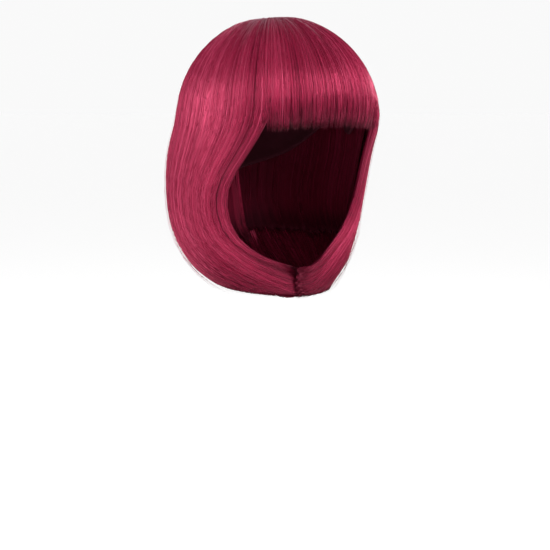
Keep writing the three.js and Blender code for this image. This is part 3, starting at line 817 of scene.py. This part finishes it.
# Inner sections. node, bounds across, seed, locks, strands.
UNDER_SECTIONS = (
    ("under_left", -UNDER_EDGE_SHARE, -BACK_SHARE, 101, 12, 260),
    ("under_back", -BACK_SHARE, BACK_SHARE, 113, 20, 380),
    ("under_right", BACK_SHARE, UNDER_EDGE_SHARE, 127, 12, 320),
)
UNDER_LAYER = dict(width=1.1, level=(-4.6, -3.4), short_share=0.0, rings=10, facing=-1, end_spread=3.5,
                   stray_share=0.0, overlap=0.015)
for node, low, high, seed, locks, count in UNDER_SECTIONS:
    mass = body_shell(node + "_mass", under_point, low, high, *UNDER_GRID, 0.0, 1.0, UNDER_LENGTH, seed,
                      UNDER_THICKNESS, locks)
    dress(mass, HAIR_INNER_SHADED, "hair_inner", node)
    face = strands(node + "_strands", under_point, low, high, count, locks, UNDER_LENGTH, 0.0, seed,
                   **UNDER_LAYER)
    dress(face, HAIR_INNER_SHADED, "hair_inner")


# Tone of the cap and the patch, which have no strands
EVEN_TONE = 0.5


def cap_taper(angle, height):
    """How much the cap is drawn in below its widest level."""
    below = np.clip(-(height + HEAD_CROWN_HEIGHT) / (CAP_DEPTH - HEAD_CROWN_HEIGHT), 0, 1)
    backness = smooth((angle - 90) / 90)
    return 1 - mix(CAP_TAPER_SIDE, CAP_TAPER_BACK, backness) * below * below


def cap_inside(turn_share, down):
    """The inside of the cap. turn_share: share of a turn from straight ahead. down: 0 at the crown, 1 at
    the cap's lower edge."""
    angle = 360 * turn_share
    folded = np.abs((angle + 180) % 360 - 180)
    edge = CAP_DEPTH * along(CAP_EDGE, "angle", "depth", folded)
    on_dome_edge = np.arccos(np.clip(1 - edge / HEAD_CROWN_HEIGHT, -1, 1))
    edge_turn = np.where(edge < HEAD_CROWN_HEIGHT, on_dome_edge, math.pi / 2)
    turn = down * (edge_turn + np.maximum(0, edge - HEAD_CROWN_HEIGHT) / HEAD_CROWN_HEIGHT)
    dome = turn < math.pi / 2
    height = HEAD_CROWN_HEIGHT * np.where(dome, np.cos(turn) - 1, math.pi / 2 - turn - 1)
    share = np.where(dome, np.sin(turn), cap_taper(folded, height))
    ring = ring_radius(folded, HEAD_HALF_WIDTH, HEAD_HALF_LENGTH, HEAD_HALF_LENGTH, CAP_SQUARENESS)
    return polar(angle, ring * share, height)


def make_cap():
    """The net cap: one thin open shell with a hemmed edge."""
    columns, rows = CAP_GRID
    down = np.linspace(0, 1, rows)[:, None] + np.zeros((1, columns))
    turn_share = np.arange(columns)[None, :] / columns + np.zeros((rows, 1))
    base = cap_inside(turn_share, down)
    normal = outward(cap_inside, turn_share, down)
    normal[0] = (0, 0, 1)
    hem = eased(down, HEM_EDGE) * HEM_RISE
    outer = base + normal * (CAP_WALL + hem)[..., None]
    inner = base - normal * hem[..., None]
    tones = np.full((2 * rows * columns, 3), EVEN_TONE)
    cap = shell("cap_net", outer, inner, tones, wrap=True, pole=True)
    dress(cap, NET, "net", "cap")


def patch_form(turn_share, out):
    """The cap's form around the whorl, in rings about it."""
    turn = 2 * math.pi * turn_share
    x = PATCH_RADIUS * out * np.sin(turn)
    y = WHORL_BACK - PATCH_RADIUS * out * np.cos(turn)
    size = ring_share(x, y, HEAD_HALF_WIDTH, HEAD_HALF_LENGTH, HEAD_HALF_LENGTH, CAP_SQUARENESS)
    return np.stack([x, y, HEAD_CROWN_HEIGHT * (np.sqrt(1 - size * size) - 1)], axis=-1)


def make_patch():
    """The pale patch that shows between the roots."""
    columns, rows = PATCH_GRID
    out = np.linspace(0, 1, rows)[:, None] + np.zeros((1, columns))
    turn_share = np.arange(columns)[None, :] / columns + np.zeros((rows, 1))
    base = patch_form(turn_share, out)
    normal = outward(patch_form, turn_share, out)
    normal[0] = (0, 0, 1)
    outer = base + normal * (PATCH_LOW + PATCH_WALL)
    inner = base + normal * PATCH_LOW
    tones = np.full((2 * rows * columns, 3), EVEN_TONE)
    patch = shell("crown_patch_net", outer, inner, tones, wrap=True, pole=True)
    dress(patch, PATCH, "patch", "crown_patch")


make_cap()
make_patch()

# Camera
CAMERA_AZIMUTH = -33.0
CAMERA_ELEVATION = 6.0
CAMERA_DISTANCE = 1600.0
CAMERA_TARGET_HEIGHT = -244.9
PHOTO_SIDE = 550
SENSOR_WIDTH = 36.0
CAMERA_FAR = 100.0


def place_camera():
    """The photograph's view: one millimetre a pixel at the wig's axis, which is upright in the picture."""
    turn = math.radians(CAMERA_AZIMUTH)
    rise = math.radians(CAMERA_ELEVATION)
    toward = Vector((math.sin(turn) * math.cos(rise), -math.cos(turn) * math.cos(rise), math.sin(rise)))
    data = bpy.data.cameras.new("camera")
    data.sensor_width = SENSOR_WIDTH
    data.lens = SENSOR_WIDTH * CAMERA_DISTANCE / PHOTO_SIDE
    data.clip_end = CAMERA_FAR
    camera = bpy.data.objects.new("camera", data)
    target = Vector((0, 0, CAMERA_TARGET_HEIGHT)) * MM
    camera.location = target + toward * CAMERA_DISTANCE * MM
    camera.rotation_euler = (-toward).to_track_quat("-Z", "Y").to_euler()
    bpy.context.scene.collection.objects.link(camera)
    bpy.context.scene.camera = camera


# Light and floor, in metres. OVERHEAD: from and to what height of direction the light fades.
WALL_LIGHT = 0.95
OVERHEAD_LIGHT = 0.1
OVERHEAD_FROM = 0.09
OVERHEAD_TO = 0.45
LIGHT_AIM = (0, 0, -0.12)
FLOOR_HALF = 90.0
FLOOR_LEVEL = -0.51
FLOOR_GLOW = 0.82


def area_light(name, azimuth, elevation, distance, size, power):
    """A soft square light that looks at the wig."""
    turn = math.radians(azimuth)
    rise = math.radians(elevation)
    away = Vector((math.sin(turn) * math.cos(rise), -math.cos(turn) * math.cos(rise), math.sin(rise)))
    data = bpy.data.lights.new(name, "AREA")
    data.size = size
    data.energy = power
    light = bpy.data.objects.new(name, data)
    light.location = Vector(LIGHT_AIM) + away * distance
    light.rotation_euler = (-away).to_track_quat("-Z", "Y").to_euler()
    bpy.context.scene.collection.objects.link(light)


def place_floor():
    """A plain pale floor, well below the tips."""
    mesh = bpy.data.meshes.new("floor")
    signs = ((-1, -1), (1, -1), (1, 1), (-1, 1))
    corners = [(x * FLOOR_HALF, y * FLOOR_HALF, FLOOR_LEVEL) for x, y in signs]
    mesh.from_pydata(corners, [], [(0, 1, 2, 3)])
    floor = bpy.data.objects.new("floor", mesh)
    bpy.context.scene.collection.objects.link(floor)
    material, *_, principled = shader("floor")
    principled.inputs["Base Color"].default_value = (0.6, 0.6, 0.6, 1)
    principled.inputs["Roughness"].default_value = 0.8
    principled.inputs["Emission Color"].default_value = (1, 1, 1, 1)
    principled.inputs["Emission Strength"].default_value = FLOOR_GLOW
    mesh.materials.append(material)


def place_world():
    """Pale light from all round, dimmer overhead."""
    world = bpy.data.worlds.new("studio")
    world.use_nodes = True
    node = world.node_tree.nodes.new
    link = world.node_tree.links.new
    sky = world.node_tree.nodes["Background"]
    direction = node("ShaderNodeTexCoord")
    parts = node("ShaderNodeSeparateXYZ")
    link(direction.outputs["Generated"], parts.inputs["Vector"])
    overhead = node("ShaderNodeMapRange")
    overhead.inputs["From Min"].default_value = OVERHEAD_FROM
    overhead.inputs["From Max"].default_value = OVERHEAD_TO
    overhead.inputs["To Min"].default_value = WALL_LIGHT
    overhead.inputs["To Max"].default_value = OVERHEAD_LIGHT
    link(parts.outputs["Z"], overhead.inputs["Value"])
    link(overhead.outputs["Result"], sky.inputs["Strength"])
    sky.inputs["Color"].default_value = (1.0, 1.0, 1.0, 1)
    bpy.context.scene.world = world


place_camera()
place_floor()
place_world()
area_light("key", azimuth=5, elevation=31, distance=1.7, size=1.1, power=29)
area_light("left", azimuth=-106, elevation=16, distance=1.7, size=1.0, power=22)
area_light("right", azimuth=85, elevation=16, distance=1.8, size=0.5, power=8)

bpy.context.scene.view_settings.view_transform = "Standard"
